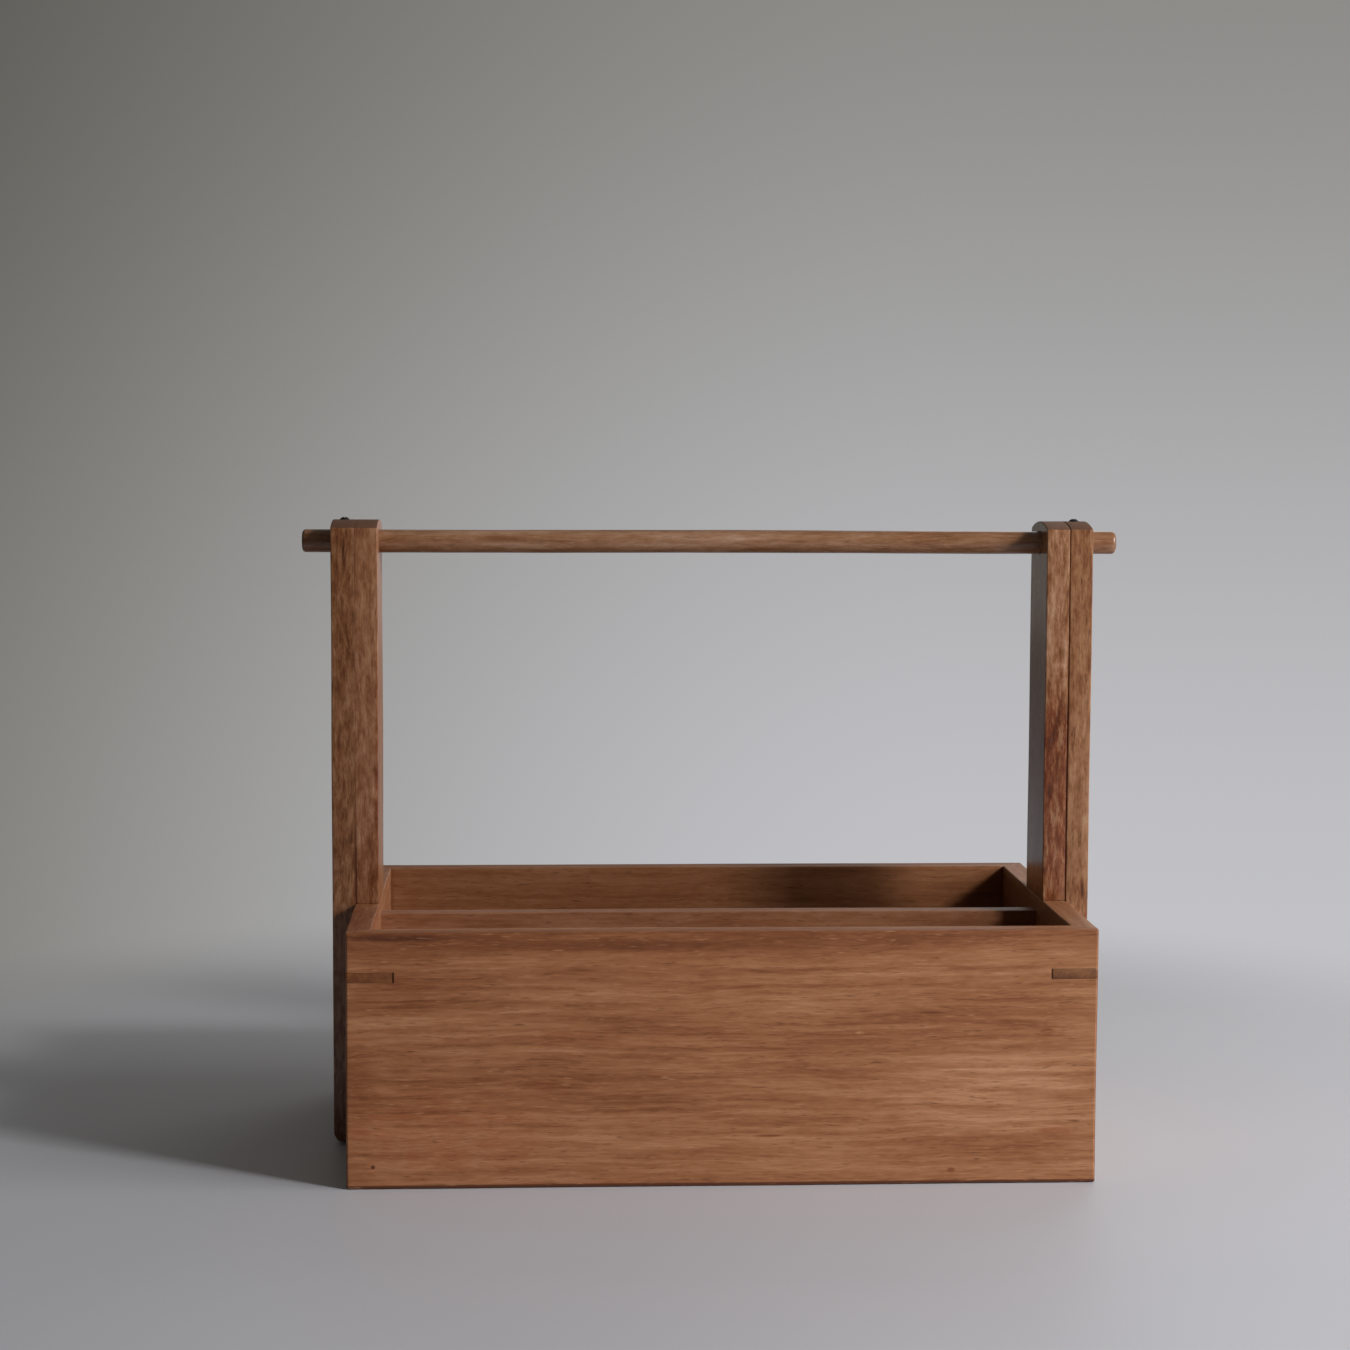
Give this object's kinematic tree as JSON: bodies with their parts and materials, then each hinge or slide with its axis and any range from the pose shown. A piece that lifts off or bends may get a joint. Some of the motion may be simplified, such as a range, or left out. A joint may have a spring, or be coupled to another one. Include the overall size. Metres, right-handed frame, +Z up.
{
  "type": "wooden tote",
  "caption": "Open rectangular wooden tote with mitred, keyed corners, a lengthwise divider and two laminated uprights that carry a round rod as a handle.",
  "frame": {"origin": "on the floor under the middle of the box", "axes": "+X along the box and the rod, +Y from the front wall to the back wall, +Z up"},
  "size_m": [0.426, 0.22, 0.3263],
  "materials": {
    "wall_wood": "oiled reddish brown hardwood, grain along each wall",
    "inside_wood": "oiled reddish brown hardwood, grain along the box",
    "key_wood": "darker end grain of the keys",
    "upright_wood": "oiled reddish brown hardwood, upright grain",
    "rod_wood": "oiled hardwood, grain along the rod",
    "screw_steel": "blackened steel, satin"
  },
  "bodies": {
    "root": {"front_wall": "wall_wood", "back_wall": "wall_wood", "left_wall": "wall_wood", "right_wall": "wall_wood", "base_panel": "inside_wood", "divider": "inside_wood", "key_front_left": "key_wood", "key_front_right": "key_wood", "key_back_left": "key_wood", "key_back_right": "key_wood", "left_upright_inner": "upright_wood", "left_upright_outer": "upright_wood", "right_upright_inner": "upright_wood", "right_upright_outer": "upright_wood", "handle_rod": "rod_wood", "left_rod_screw": "screw_steel", "right_rod_screw": "screw_steel", "left_lap_screws": "screw_steel", "right_lap_screws": "screw_steel"}
  },
  "joints": []
}
